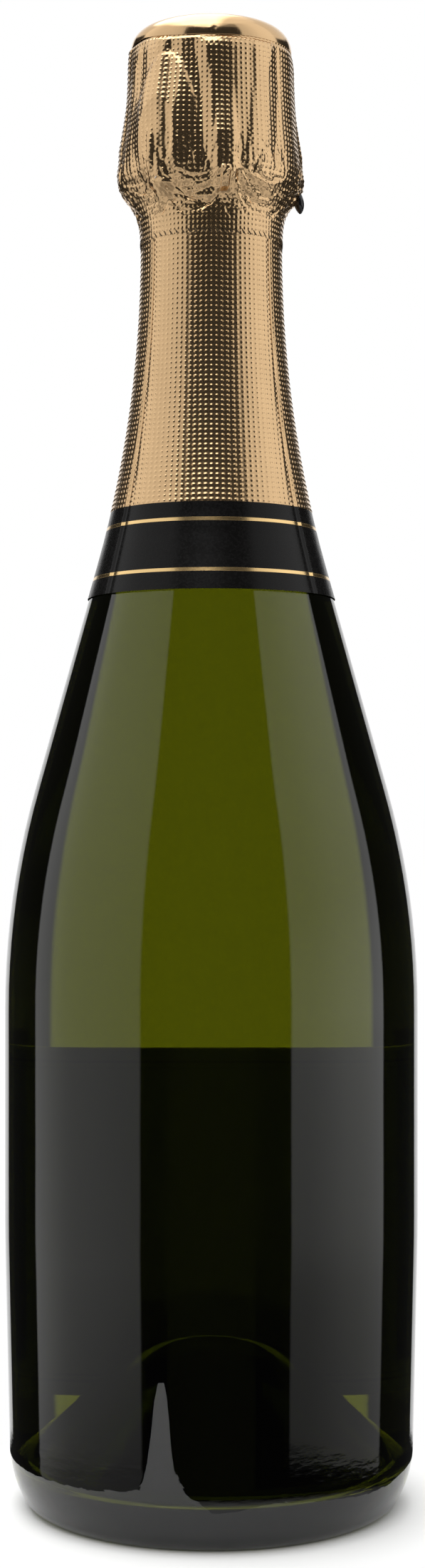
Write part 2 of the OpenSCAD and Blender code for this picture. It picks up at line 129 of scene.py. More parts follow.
def arc_points(a, b, c, radius):
    """The arc that rounds corner b between a and c."""
    u, w = (a - b) / np.linalg.norm(a - b), (c - b) / np.linalg.norm(c - b)
    half = math.acos(max(-1, min(1, float(u @ w)))) / 2
    middle = (u + w) / np.linalg.norm(u + w)
    centre = b + middle * radius / math.sin(half)
    start = b + u * radius / math.tan(half) - centre
    turn = (math.pi - 2 * half) * math.copysign(1, u[1] * w[0] - u[0] * w[1])
    steps = max(2, math.ceil(max(abs(turn) / ARC_STEP, abs(turn) * radius / LONGEST_STEP)))
    made = []
    for i in range(steps + 1):
        t = turn * i / steps
        spoke = np.array([
            start[0] * math.cos(t) - start[1] * math.sin(t),
            start[0] * math.sin(t) + start[1] * math.cos(t),
        ])
        made.append(centre + spoke)
    return made


def rounded(corners):
    """A path through corners, each with a rounding or 0, with no step longer than LONGEST_STEP."""
    points = [np.array(c[:2], float) for c in corners]
    path = [points[0]]
    for i, corner in enumerate(corners):
        if i == 0:
            continue
        if i < len(corners) - 1 and len(corner) > 2 and corner[2] > 0:
            stretch = arc_points(points[i - 1], points[i], points[i + 1], corner[2])
        else:
            stretch = [points[i]]
        gap = np.linalg.norm(stretch[0] - path[-1])
        steps = max(1, math.ceil(gap / LONGEST_STEP))
        start = path[-1]
        for k in range(1, steps):
            path.append(start + (stretch[0] - start) * k / steps)
        path.extend(p for p in stretch if np.linalg.norm(p - path[-1]) > 1e-6 or p is stretch[-1])
    return np.array(path)


def path_normals(path):
    """Normals to the right of the way the path runs."""
    ahead = np.diff(path, axis=0)
    units = ahead / np.maximum(np.linalg.norm(ahead, axis=1, keepdims=True), 1e-9)
    along = np.concatenate([units[:1], units[1:] + units[:-1], units[-1:]])
    along /= np.linalg.norm(along, axis=1, keepdims=True)
    return np.stack([along[:, 1], -along[:, 0]], axis=1)


def punt_corner_r(thick):
    drop = PUNT_H + thick - thick * math.sin(PUNT_ANGLE)
    return PUNT_MOUTH_R + thick * math.cos(PUNT_ANGLE) - drop * math.tan(PUNT_ANGLE)


def dome_round(thick):
    return punt_corner_r(thick) / math.tan((math.pi / 2 - PUNT_ANGLE) / 2)


OUTSIDE = [
    (-punt_corner_r(0), PUNT_H),
    (punt_corner_r(0), PUNT_H, dome_round(0)),
    (PUNT_MOUTH_R, 0, PUNT_EDGE_ROUND),
    (FOOT_R, 0, FOOT_ROUND),
    (BASE_R, HEEL_H, HEEL_ROUND),
    (BODY_R, TAPER_Z, TAPER_ROUND),
    (BODY_R, SHOULDER_CORNER_Z, SHOULDER_ROUND),
    (NECK_R, NECK_CORNER_Z, NECK_ROUND),
    (NECK_R, RING_Z, 0.8),
    (RING_R, RING_Z + 0.6, 1.6),
    (RING_R, RING_TOP_Z, 1.6),
    (GROOVE_R, GROOVE_Z, 0.9),
    (GROOVE_R, GROOVE_TOP_Z, 0.7),
    (LIP_R, GROOVE_TOP_Z + LIP_R - GROOVE_R, 0.7),
    (LIP_R, BOTTLE_H, 1.9),
    (BORE_R, BOTTLE_H, 1.5),
]


def cavity():
    """The inside of the glass, from the bore to the top of the punt."""
    lift = WALL * math.tan(FLANK_ANGLE / 2)
    throat_z = NECK_CORNER_Z - lift + (NECK_R - WALL - BORE_R) / math.tan(FLANK_ANGLE)
    throat_round = (BOTTLE_H - BORE_L - throat_z) / math.tan(FLANK_ANGLE / 2)
    inner_foot = BASE_R - WALL - PUNT_MOUTH_R - PUNT_WALL * math.cos(PUNT_ANGLE)
    valley_z = PUNT_WALL * math.sin(PUNT_ANGLE) - inner_foot / math.tan(PUNT_ANGLE)
    top_r = punt_corner_r(PUNT_WALL)
    return [
        (BORE_R, throat_z, throat_round),
        (BODY_R - WALL, SHOULDER_CORNER_Z - lift, SHOULDER_ROUND - WALL),
        (BODY_R - WALL, TAPER_Z, TAPER_ROUND),
        (BASE_R - WALL, valley_z, INNER_HEEL_ROUND),
        (top_r, PUNT_H + PUNT_WALL, dome_round(PUNT_WALL)),
        (-top_r, PUNT_H + PUNT_WALL),
    ]


GLASS_PATH = rounded(OUTSIDE + cavity())
LIP_INDEX = int(np.argmax(GLASS_PATH[:, 1]))
SIDE = GLASS_PATH[(GLASS_PATH[:, 0] > 0) & (np.arange(len(GLASS_PATH)) < LIP_INDEX)]
SIDE = SIDE[int(np.argmin(SIDE[:, 1])):]
SIDE = SIDE[SIDE[:, 1] < RING_Z]


def glass_r(z):
    """Radius of the glass outside, between the heel and the wire ring."""
    return np.interp(z, SIDE[:, 1], SIDE[:, 0])


# Meshes from grids of points


def mesh_object(name, points, faces, normals=None):
    """A smooth mesh of quads, from arrays in millimetres."""
    mesh = bpy.data.meshes.new(name)
    mesh.vertices.add(len(points))
    mesh.vertices.foreach_set("co", (points * MM).astype(np.float32).ravel())
    mesh.loops.add(faces.size)
    mesh.loops.foreach_set("vertex_index", faces.astype(np.int32).ravel())
    mesh.polygons.add(len(faces))
    mesh.polygons.foreach_set("loop_start", np.arange(0, faces.size, 4, dtype=np.int32))
    mesh.polygons.foreach_set("use_smooth", np.ones(len(faces), bool))
    mesh.update(calc_edges=True)
    mesh.validate()
    if normals is not None:
        mesh.normals_split_custom_set_from_vertices(normals.astype(np.float32))
    made = bpy.data.objects.new(name, mesh)
    bpy.context.scene.collection.objects.link(made)
    return made


def grid_faces(rows, columns, closed):
    """Quads of a grid of rows by columns, each column joined to the next, and the last to the first."""
    across = columns if closed else columns - 1
    i, k = np.meshgrid(np.arange(rows - 1), np.arange(across), indexing="ij")
    after = (k + 1) % columns
    quads = np.stack([i * columns + k, i * columns + after, (i + 1) * columns + after,
                      (i + 1) * columns + k], axis=-1)
    return quads.reshape(-1, 4)


def around(r, azimuth, z):
    """Points at radius r and height z, azimuth in degrees from -Y towards +X."""
    a = np.radians(azimuth)
    return np.stack([r * np.sin(a), -r * np.cos(a), z + 0 * a], axis=-1)


def merge_doubles(made, reach):
    """Joins vertices that lie together, such as a lathe's points on the axis."""
    mesh = bmesh.new()
    mesh.from_mesh(made.data)
    bmesh.ops.remove_doubles(mesh, verts=mesh.verts, dist=reach * MM)
    mesh.to_mesh(made.data)
    mesh.free()


def lathe(name, path, segments):
    """A surface turned from a path whose outside lies to its right."""
    azimuths = np.arange(segments) * 360.0 / segments
    r, a = np.meshgrid(path[:, 0], azimuths, indexing="ij")
    z = np.repeat(path[:, 1:2], segments, axis=1)
    normals = path_normals(path)
    nr = np.repeat(normals[:, 0:1], segments, axis=1)
    nz = np.repeat(normals[:, 1:2], segments, axis=1)
    return mesh_object(
        name,
        around(r, a, z).reshape(-1, 3),
        grid_faces(len(path), segments, True),
        around(nr, a, nz).reshape(-1, 3),
    )


# Materials


def new_material(name, **values):
    """A Principled material with plain values, its node tree and its shader."""
    material = bpy.data.materials.new(name)
    material.use_nodes = True
    tree = material.node_tree
    shader = tree.nodes["Principled BSDF"]
    for key, value in values.items():
        socket = shader.inputs[key.replace("_", " ")]
        socket.default_value = (*value, 1.0) if isinstance(value, tuple) else value
    return material, tree, shader


def node(tree, kind, **settings):
    made = tree.nodes.new(kind)
    for key, value in settings.items():
        setattr(made, key, value)
    return made


def calc(tree, operation, first, second=None):
    """A Math node's output. Each operand is a socket or a number."""
    made = node(tree, "ShaderNodeMath", operation=operation)
    for index, operand in enumerate((first, second)):
        if operand is None:
            continue
        if isinstance(operand, (int, float)):
            made.inputs[index].default_value = operand
        else:
            tree.links.new(operand, made.inputs[index])
    return made.outputs[0]


def ramp(tree, value, low, high, start=0.0, end=1.0):
    """A smooth ramp from start to end as value goes from low to high."""
    made = node(tree, "ShaderNodeMapRange", interpolation_type="SMOOTHSTEP")
    tree.links.new(value, made.inputs["Value"])
    made.inputs["From Min"].default_value = low
    made.inputs["From Max"].default_value = high
    made.inputs["To Min"].default_value = start
    made.inputs["To Max"].default_value = end
    return made.outputs["Result"]


def noise(tree, scale, detail=3.0, vector=None, roughness=0.5):
    made = node(tree, "ShaderNodeTexNoise")
    made.inputs["Scale"].default_value = scale
    made.inputs["Detail"].default_value = detail
    made.inputs["Roughness"].default_value = roughness
    if vector is None:
        vector = object_place(tree)
    tree.links.new(vector, made.inputs["Vector"])
    return made.outputs["Fac"]


def object_place(tree):
    return node(tree, "ShaderNodeTexCoord").outputs["Object"]


def place_parts(tree):
    """The x, y and z of a place on the object, as sockets."""
    split = node(tree, "ShaderNodeSeparateXYZ")
    tree.links.new(object_place(tree), split.inputs[0])
    return split.outputs


def blend_colours(tree, share, first, second):
    """A mix of two colours, each a tuple or a socket."""
    made = node(tree, "ShaderNodeMix", data_type="RGBA")
    tree.links.new(share, made.inputs["Factor"])
    for socket, colour in ((made.inputs[6], first), (made.inputs[7], second)):
        if isinstance(colour, tuple):
            socket.default_value = (*colour, 1.0)
        else:
            tree.links.new(colour, socket)
    return made.outputs[2]


def bump(tree, shader, height, distance, strength=1.0):
    made = node(tree, "ShaderNodeBump")
    made.inputs["Strength"].default_value = strength
    made.inputs["Distance"].default_value = distance * MM
    tree.links.new(height, made.inputs["Height"])
    tree.links.new(made.outputs["Normal"], shader.inputs["Normal"])


GLASS_COLOUR = (0.252, 0.270, 0.0316)
GLASS_IOR = 1.52
WINE_IOR = 1.34
# Ripples low in the glass, wider than high, which fade out between these heights
RIPPLE_Z = (9.0, 26.0)
RIPPLE_STRETCH = 2.2


def glass_material(name, ior, thickness=1.0):
    """Green glass. Its colour is taken once by a wall, half at each face."""
    colour = tuple(c ** thickness for c in GLASS_COLOUR)
    material, tree, shader = new_material(
        name, Base_Color=colour, Roughness=0.0, IOR=ior, Transmission_Weight=1.0)
    stretch = node(tree, "ShaderNodeMapping")
    stretch.inputs["Scale"].default_value = (1.0, 1.0, RIPPLE_STRETCH)
    tree.links.new(object_place(tree), stretch.inputs["Vector"])
    low = ramp(tree, place_parts(tree)["Z"], RIPPLE_Z[0] * MM, RIPPLE_Z[1] * MM, 1.0, 0.0)
    ripples = calc(tree, "MULTIPLY", noise(tree, 320, 2.0, stretch.outputs["Vector"]), low)
    bump(tree, shader, calc(tree, "ADD", noise(tree, 45, 1.0), ripples), 0.05, 0.5)
    return material


def wine_material():
    """Nearly clear wine. Its own index is near 1, because the wetted glass is set against it."""
    return new_material(
        "wine", Base_Color=(0.98, 0.96, 0.86), Roughness=0.0, IOR=1.001, Transmission_Weight=1.0)[0]


GOLD = (0.73, 0.49, 0.262)
GOLD_METAL = 0.97


def gold_material(name, roughness):
    """Gold-lacquered foil with a fine grain and slightly uneven lacquer."""
    material, tree, shader = new_material(name, Metallic=GOLD_METAL)
    uneven = noise(tree, 220, 4.0)
    paler = tuple(min(1.0, c * 1.08) for c in GOLD)
    darker = tuple(c * 0.92 for c in GOLD)
    tree.links.new(blend_colours(tree, uneven, darker, paler), shader.inputs["Base Color"])
    grain = noise(tree, 1500, 2.0)
    tree.links.new(ramp(tree, grain, 0.3, 0.7, roughness * 0.85, roughness * 1.2),
                   shader.inputs["Roughness"])
    bump(tree, shader, grain, 0.01, 0.35)
    return material


LINE_HEIGHTS = (208.0, 197.3)
LINE_W = 0.7
LINE_SOFT = 0.04
LINE_GOLD = (0.95, 0.66, 0.30)
LINE_ROUGHNESS = 0.2
BORDER_BLACK = (0.0022, 0.0020, 0.0019)
BORDER_SATIN = (0.22, 0.30)


def border_material():
    """Black satin lacquer with two gold lines printed round it."""
    material, tree, shader = new_material("black_foil", Specular_IOR_Level=0.18)
    z = place_parts(tree)["Z"]
    line = None
    for height in LINE_HEIGHTS:
        off = calc(tree, "ABSOLUTE", calc(tree, "SUBTRACT", z, height * MM))
        edge = LINE_W / 2 * MM
        here = ramp(tree, off, edge - LINE_SOFT * MM, edge + LINE_SOFT * MM, 1.0, 0.0)
        line = here if line is None else calc(tree, "MAXIMUM", line, here)
    grain = noise(tree, 1800, 3.0)
    black = blend_colours(tree, grain, BORDER_BLACK, tuple(c * 2.2 for c in BORDER_BLACK))
    tree.links.new(blend_colours(tree, line, black, LINE_GOLD), shader.inputs["Base Color"])
    tree.links.new(line, shader.inputs["Metallic"])
    satin = ramp(tree, grain, 0.3, 0.7, *BORDER_SATIN)
    rough = node(tree, "ShaderNodeMix", data_type="FLOAT")
    tree.links.new(line, rough.inputs["Factor"])
    tree.links.new(satin, rough.inputs[2])
    rough.inputs[3].default_value = LINE_ROUGHNESS
    tree.links.new(rough.outputs[0], shader.inputs["Roughness"])
    bump(tree, shader, grain, 0.01, 0.5)
    return material


LABEL_W = 104.0
LABEL_T = 0.15
# Lines of the rule: how far each lies inside the label's edge, and half its width
RULE_LINES = ((3.2, 0.30), (4.6, 0.12))
RULE_SOFT = 0.05
RULE_INK = (0.36, 0.25, 0.11)
PAPER_DARK = (0.80, 0.78, 0.72)
PAPER_PALE = (0.90, 0.885, 0.83)


def paper_material(low, high):
    """Uncoated label paper with fibres and a plain double rule round its edge."""
    material, tree, shader = new_material("label_paper", Roughness=0.75, Specular_IOR_Level=0.3)
    x, y, z = place_parts(tree)
    across = calc(tree, "ABSOLUTE", calc(tree, "MULTIPLY", calc(tree, "ARCTAN2", x, y), BODY_R * MM))
    up = calc(tree, "ABSOLUTE", calc(tree, "SUBTRACT", z, (low + high) / 2 * MM))
    inside = calc(tree, "MAXIMUM", calc(tree, "SUBTRACT", across, LABEL_W / 2 * MM),
                  calc(tree, "SUBTRACT", up, (high - low) / 2 * MM))
    ink = None
    for inset, half in RULE_LINES:
        off = calc(tree, "ABSOLUTE", calc(tree, "ADD", inside, inset * MM))
        line = ramp(tree, off, (half - RULE_SOFT) * MM, (half + RULE_SOFT) * MM, 1.0, 0.0)
        ink = line if ink is None else calc(tree, "MAXIMUM", ink, line)
    fibres = noise(tree, 900, 6.0, roughness=0.7)
    paper = blend_colours(tree, fibres, PAPER_DARK, PAPER_PALE)
    wear_and_shade_patches = calc(tree, "MULTIPLY", ink, ramp(tree, fibres, 0.3, 0.5, 0.6, 1.0))
    tree.links.new(blend_colours(tree, wear_and_shade_patches, paper, RULE_INK), shader.inputs["Base Color"])
    bump(tree, shader, fibres, 0.03, 0.6)
    return material


def cork_material(name, dark, pale, grain_scale):
    """Cork, with grains and darker lenticels."""
    material, tree, shader = new_material(name, Roughness=0.85, Specular_IOR_Level=0.25)
    cells = node(tree, "ShaderNodeTexVoronoi")
    cells.inputs["Scale"].default_value = grain_scale
    tree.links.new(object_place(tree), cells.inputs["Vector"])
    split = node(tree, "ShaderNodeSeparateColor")
    tree.links.new(cells.outputs["Color"], split.inputs[0])
    base = blend_colours(tree, split.outputs[0], dark, pale)
    spots = ramp(tree, noise(tree, grain_scale * 0.8, 5.0), 0.62, 0.72)
    tree.links.new(blend_colours(tree, spots, base, (0.12, 0.06, 0.03)), shader.inputs["Base Color"])
    height = calc(tree, "SUBTRACT", split.outputs[1], spots)
    bump(tree, shader, height, 0.12, 0.7)
    return material


def steel_material(name, colour, roughness):
    """Drawn or pressed metal with a fine grain."""
    material, tree, shader = new_material(name, Metallic=1.0)
    grain = noise(tree, 700, 4.0)
    tree.links.new(
        blend_colours(tree, grain, tuple(c * 0.85 for c in colour), colour),
        shader.inputs["Base Color"])
    tree.links.new(ramp(tree, grain, 0.3, 0.7, roughness * 0.8, roughness * 1.3),
                   shader.inputs["Roughness"])
    bump(tree, shader, grain, 0.01, 0.4)
    return material


# Painted shade: the slits are dark strips that stand in for the shadow inside the cuts
SLIT_SHADE_DARK = (0.03, 0.02, 0.012)
SLIT_SHADE_PALE = (0.16, 0.11, 0.06)


def slit_shade_material():
    """The slits' raised lips, coloured dark in uneven patches: painted shade of the open cuts."""
    material, tree, shader = new_material("slit_painted_shade", Metallic=0.9, Roughness=0.35)
    wear_and_shade_patches = ramp(tree, noise(tree, 1400, 2.0), 0.35, 0.65)
    tree.links.new(blend_colours(tree, wear_and_shade_patches, SLIT_SHADE_DARK, SLIT_SHADE_PALE), shader.inputs["Base Color"])
    return material


def lacquer_material():
    material, tree, shader = new_material(
        "black_lacquer", Base_Color=(0.006, 0.006, 0.007), Roughness=0.12)
    bump(tree, shader, noise(tree, 400, 2.0), 0.02, 0.3)
    return material


def put(made, material, body, slot, *replaced):
    """Dresses a piece, sets it on its body and hides the parts it stands for. The slot is not used."""
    made.data.materials.append(material)
    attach(made, body)
    if replaced:
        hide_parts(*replaced)


# The glass and the wine

GLASS_SEGMENTS = 192
# The glass of the base colours light as this many walls do, within the radius BASE_GLASS_R
BASE_THICKNESS = 3.0
BASE_GLASS_R = 37.5


def make_glass():
    path = GLASS_PATH.copy()
    path[:, 0] = np.maximum(path[:, 0], 0)
    first = int(np.argmax(path[:, 0] > 0)) - 1
    last = len(path) - int(np.argmax(path[::-1, 0] > 0))
    path = path[first:last + 1]
    made = lathe("bottle_glass", path, GLASS_SEGMENTS)
    for name, ior, thickness in (
        ("green_glass", GLASS_IOR, 1.0),
        ("green_glass_wetted", GLASS_IOR / WINE_IOR, 1.0),
        ("green_glass_base", GLASS_IOR, BASE_THICKNESS),
        ("green_glass_base_wetted", GLASS_IOR / WINE_IOR, BASE_THICKNESS),
    ):
        made.data.materials.append(glass_material(name, ior, thickness))
    lip = int(np.argmax(path[:, 1]))
    rows = np.arange(len(path) - 1)
    wet_rows = (rows > lip) & (path[:-1, 1] <= FILL_Z)
    base_rows = (path[:-1, 0] < BASE_GLASS_R) & (path[:-1, 1] < TAPER_Z)
    index = np.repeat(wet_rows + 2 * base_rows, GLASS_SEGMENTS).astype(np.int32)
    made.data.polygons.foreach_set("material_index", index)
    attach(made, "bottle")
    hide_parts("bottle")


# Embossed foil

DOT_SAMPLES = 7
DOT_H = 0.13
DOT_SHARE = 0.33
ROW_PITCH = 1.05
# Pitch of the columns at one radius, and how much it grows for each millimetre more
COLUMN_PITCH = 1.065
COLUMN_PITCH_R = 15.25
COLUMN_PITCH_GROWTH = 0.034
# Rows and columns of the smooth sheets, which carry no dots
SHEET_ROWS = 60
SHEET_COLUMNS = 160


def dots(u, v):
    """Height of the embossing at u columns and v rows: a round dot at every whole pair."""
    du, dv = u - np.round(u), v - np.round(v)
    near = np.clip(1 - (du * du + dv * dv) / DOT_SHARE ** 2, 0, 1)
    return DOT_H * near ** 1.5


def column_pitch(r):
    """Distance between embossed columns, which grows more slowly than the radius."""
    return COLUMN_PITCH + (r - COLUMN_PITCH_R) * COLUMN_PITCH_GROWTH


# Panels of the neck foil between its four pleats: middle azimuth, columns each side of the
# middle, half angle of the visible panel, and how far it lies over the panels beside it
PANELS = {
    "back": (0.0, 19, 56.5, 0.16),
    "right": (90.0, 15, 44.0, 0.0),
    "front": (180.0, 19, 56.5, 0.16),
    "left": (270.0, 15, 44.0, 0.0),
}


def panel_azimuths(columns, half_angle, r):
    """Azimuths of a panel's sample columns at radius r, held inside its two folded edges."""
    u = np.arange(-columns * DOT_SAMPLES, columns * DOT_SAMPLES + 1) / DOT_SAMPLES
    turn = np.degrees(u[None, :] * column_pitch(r)[:, None] / r[:, None])
    return u, np.clip(turn, -half_angle, half_angle)


# The lip of a folded edge and the furrow behind it: height, distance from the edge and half width,
# the last two in degrees
FOLD_WAVES = [(0.20, 0.8, 0.9), (-0.12, 3.4, 1.7)]


def fold_rise(turn, half_angle):
    """The stiff folded edge of a panel that lies on its neighbours."""
    inside = half_angle - np.abs(turn)
    return sum(height * hump(inside, middle, half_width) for height, middle, half_width in FOLD_WAVES)


def make_panel(part, side, turn, z, relief, material, slot):
    """One panel of the neck foil, from rows z, samples turned from its middle, and its relief."""
    middle, _, half_angle, over = PANELS[side]
    r = (glass_r(z) + SKIN_GAP + FOIL_T)[:, None] + over + relief
    if over:
        r = r + fold_rise(turn, half_angle)
    points = around(r + 0 * turn, middle + turn, z[:, None] + 0 * turn)
    made = mesh_object(part + "_" + side, points.reshape(-1, 3), grid_faces(*turn.shape, False))
    merge_doubles(made, 0.004)
    put(made, material, "bottle", slot)
    if side == "back":
        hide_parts(part)


def make_skirt():
    gold = gold_material("gold_foil", 0.17)
    rows = int((TEAR_Z - BORDER_TOP_Z) / ROW_PITCH * DOT_SAMPLES)
    z = np.linspace(BORDER_TOP_Z, TEAR_Z, rows + 1)
    for side, (_, columns, half_angle, _) in PANELS.items():
        u, turn = panel_azimuths(columns, half_angle, glass_r(z) + SKIN_GAP + FOIL_T)
        relief = dots(u[None, :], z[:, None] / ROW_PITCH)
        make_panel("foil_skirt", side, turn, z, relief, gold, "gold_foil")


def make_border():
    black = border_material()
    z = np.linspace(SKIRT_Z, BORDER_TOP_Z, SHEET_ROWS)
    for side, (_, _, half_angle, _) in PANELS.items():
        turn = np.tile(np.linspace(-half_angle, half_angle, SHEET_COLUMNS), (SHEET_ROWS, 1))
        make_panel("foil_border", side, turn, z, 0.0, black, "black_foil")


# The crumpled hood

HOOD_COLUMNS = 104
# Mesh rows for each row of dots
HOOD_ROW_SAMPLES = 6.7
# Middle outline of the sheet, as (height, radius). Its corners are rounded by a bell, whose reach
# and half width are counted in steps, and the ends that the bell spoils are trimmed.
PROFILE_STEP = 0.1
PROFILE_BELL = (25, 10)
PROFILE_TRIM = 30
HOOD_PROFILE = [
    (268.0, 15.2), (272.0, 15.25), (275.0, 15.6), (277.5, 16.6), (280.0, 17.9), (283.0, 18.6),
    (288.6, 18.5), (293.6, 18.05), (298.5, 17.75), (303.5, 17.5), (308.0, 17.4), (310.6, 16.95),
]
# How far the sheet stands out on the left, above these heights
HOOD_LEAN = 0.3
HOOD_LEAN_Z = (270, 278)
# Flutes of the pressed foil: azimuths of each ridge or valley line at the heights below, and
# its radius over the sheet's middle one
FLUTE_HEIGHTS = (284.0, 290.0, 300.0, 307.5)
FLUTES = [
    ((-95, -95, -95, -95), 0.05), ((-80, -78, -76, -74), 0.0), ((-58, -60, -66, -59), 0.36),
    ((-45, -50, -56, -55), -0.06), ((-40, -41, -47, -48), 0.34), ((-36, -33, -35, -33), 0.26),
    ((-29, -28, -28, -29), -0.44), ((-17, -19, -19, -21), -0.16), ((-5, -6, -8, -12), -0.34),
    ((2, 1, 0, -3), 0.70), ((13, 15, 17, 15), 0.56), ((22, 24, 28, 28), 0.38),
    ((25, 27, 31, 31), 0.56), ((38, 39, 40, 45), 0.44), ((46, 49, 53, 52), -0.32),
    ((53, 55, 57, 56), -0.12), ((66, 66, 70, 68), 0.06), ((76, 78, 79, 80), -0.05),
    ((90, 90, 90, 90), 0.12), ((101, 104, 102, 100), 0.42), ((113, 116, 112, 113), -0.24),
    ((124, 121, 126, 128), 0.36), ((140, 138, 137, 139), -0.30), ((149, 150, 153, 150), 0.05),
    ((160, 163, 160, 161), -0.24), ((172, 172, 175, 176), 0.40), ((188, 186, 186, 185), 0.56),
    ((201, 204, 200, 198), -0.30), ((213, 210, 212, 215), 0.26), ((226, 229, 230, 226), -0.34),
    ((241, 240, 243, 244), 0.30), ((254, 254, 253, 255), -0.12),
]
FLUTE_ROUND = 0.9
# Heights between which the flutes fade in and fade out
FLUTE_BOTTOM = (277, 286)
FLUTE_TOP = (306.5, 310.4)
# Share of their height that the flutes keep where the sheet lies on what it covers, how much more
# they keep at the loop and its half angle, and how far that sheet stands off above these heights
PRESSED_SHARE = 0.5
PRESSED_AT_LOOP = 0.4
PRESSED_HALF = 30
PRESSED_GAP = 0.45
PRESSED_Z = (278, 282)
# Rounding of the corners between the free sheet and the pressed one, below and above these heights
CORNER_SOFT = 0.01
CORNER_SOFTER = 0.19
CORNER_Z = (271, 278)
# Least radius over what the hood covers: the neck, the belt, the wire ring, the lip, the cork's head
HOOD_FLOOR = [
    (268.0, 15.15), (275.6, 15.2), (277.4, 16.4), (279.0, 17.2), (282.0, 17.3), (288.6, 17.3),
    (291.0, 15.2), (299.0, 15.2), (302.0, 15.25), (310.6, 15.4),
]
LEG_COVER = [(275.8, 15.2), (277.5, 17.2), (279.0, 18.5), (281.0, 19.25), (288.6, 19.3), (300.0, 17.3),
             (311.0, 17.1)]
STEM_COVER = [(275.2, 15.2), (277.2, 17.2), (278.8, 19.25), (286.0, 19.35), (294.0, 17.0)]
# The foil falls away this far beside a wire, between these angles from it
COVER_FALL = 3.5
COVER_SIDES = (3.2, 18)
# The folded loop under the foil: its height, its half angle, how far it reaches down and up, and
# the radius and half angle of its flat face
LOOP_Z = 288.6
LOOP_HALF = 13.2
LOOP_REACH = (5.6, 8.4)
LOOP_FACE_R = 19.35
LOOP_FACE_HALF = 13
# The foil's slope outside the loop's edge, and the steeper tail past it, below and above the loop
LOOP_EDGE = 0.95
LOOP_SLOPE = 1.75
LOOP_TAIL = (1.6, 1.95)
LOOP_TAIL_FALL = 5
LOOP_TAIL_SOFT = 1.3
# The loop's lump leans aside by these degrees and narrows by this share with height
LOOP_LEAN = 4
LOOP_LEAN_Z = (292, 306)
LOOP_TAPER = 0.25
LOOP_TAPER_Z = (294, 304)
# Swells over the other three legs and the loop: rise, azimuth, half angle, height and half height
BULGES = [(1.3, LEG_AZIMUTH + 90 * k, 17, 282.0, 5.0) for k in range(1, 4)]
BULGES.append((0.75, -48, 34, 287.5, 8.0))
# The foot of the leg at LEG_AZIMUTH, a blunt step: its rise, sides, start and end
FOOT_RISE = 0.7
FOOT_SIDES = (2.0, 3.2)
FOOT_BOTTOM = (276.9, 277.6)
FOOT_TOP = (280.4, 282.0)
# The fold that stands up beside the loop: its rise, azimuth and lean, its steep and gentle sides,
# and where it starts and ends
EAR_RISE = 0.5
EAR_AZIMUTH = -43.0
EAR_LEAN = 2.0
EAR_LEAN_Z = (281, 286)
EAR_STEEP_SIDE = (-0.5, 0.5)
EAR_GENTLE_SIDE = (1.5, 6.0)
EAR_BOTTOM = (279.5, 283)
EAR_TOP = (287, 291.5)
# Small creases: least, likeliest and greatest height, and the ranges of the rest. Those below
# GATHER_TOP hang like swags. Turns are in radians, and CREASE_R makes lengths of azimuths.
CREASE_SEED = 11
CREASE_COUNT = 900
CREASE_HEIGHTS = (271.5, 277.0, 287.0)
CREASE_LENGTHS = (1.5, 5.0)
CREASE_WIDTHS = (0.28, 0.52)
CREASE_DEPTHS = (-0.17, 0.12)
CREASE_BENDS = (-0.10, 0.02)
GATHER_TOP = 281.5
SWAG_SLOPE = 1.1
SWAG_TURN = 0.38
UPRIGHT_TURN = 0.45
CREASE_R = 18
CREASE_FADE_Z = (270, 274)

# Lower edge of the top disc round the hood, as (azimuth, height)
DISC_FOOT = [(-180, 310.5), (-90, 310.9), (-56, 310.8), (-25, 309.6), (0, 309.3), (50, 309.6), (90, 310.3),
             (180, 310.5)]
DISC_R = 17.18
# The hood tucks in under the disc between these depths below its foot, with this gap
TUCK_DEPTHS = (0.9, 0.1)
TUCK_GAP = 0.14


def disc_foot(a):
    return np.interp(angle_from(a, 0), *zip(*DISC_FOOT))


def soft_max(first, second, reach):
    """The larger of two arrays, with the corner between them rounded."""
    middle, gap = (first + second) / 2, (first - second) / 2
    return middle + np.sqrt(gap * gap + reach * reach)


def hood_floor(a, z):
    """Least radius of the hood over the glass, the ring, the wires and the cap."""
    least = np.interp(z, *zip(*HOOD_FLOOR)) + 0 * a
    covers = [(LEG_AZIMUTH + 90 * k, LEG_COVER) for k in range(4)] + [(LOOP_AZIMUTH, STEM_COVER)]
    for azimuth, cover in covers:
        off = np.abs(angle_from(a, azimuth))
        cover_r = np.interp(z, *zip(*cover))
        least = np.maximum(least, cover_r - COVER_FALL * smooth_step(off, *COVER_SIDES))
    loop = angle_from(a, LOOP_AZIMUTH + LOOP_LEAN * smooth_step(z, *LOOP_LEAN_Z))
    half = LOOP_HALF * (1 - LOOP_TAPER * smooth_step(z, *LOOP_TAPER_Z))
    below = z < LOOP_Z
    near = np.sqrt((loop / half) ** 2 + ((z - LOOP_Z) / np.where(below, *LOOP_REACH)) ** 2)
    face = LOOP_FACE_R / np.cos(np.radians(np.clip(loop, -LOOP_FACE_HALF, LOOP_FACE_HALF)))
    past_tail = smooth_step(near - np.where(below, *LOOP_TAIL), 0, LOOP_TAIL_SOFT)
    fall = LOOP_SLOPE * np.maximum(near - LOOP_EDGE, 0) + LOOP_TAIL_FALL * past_tail
    return np.maximum(least, face - fall)


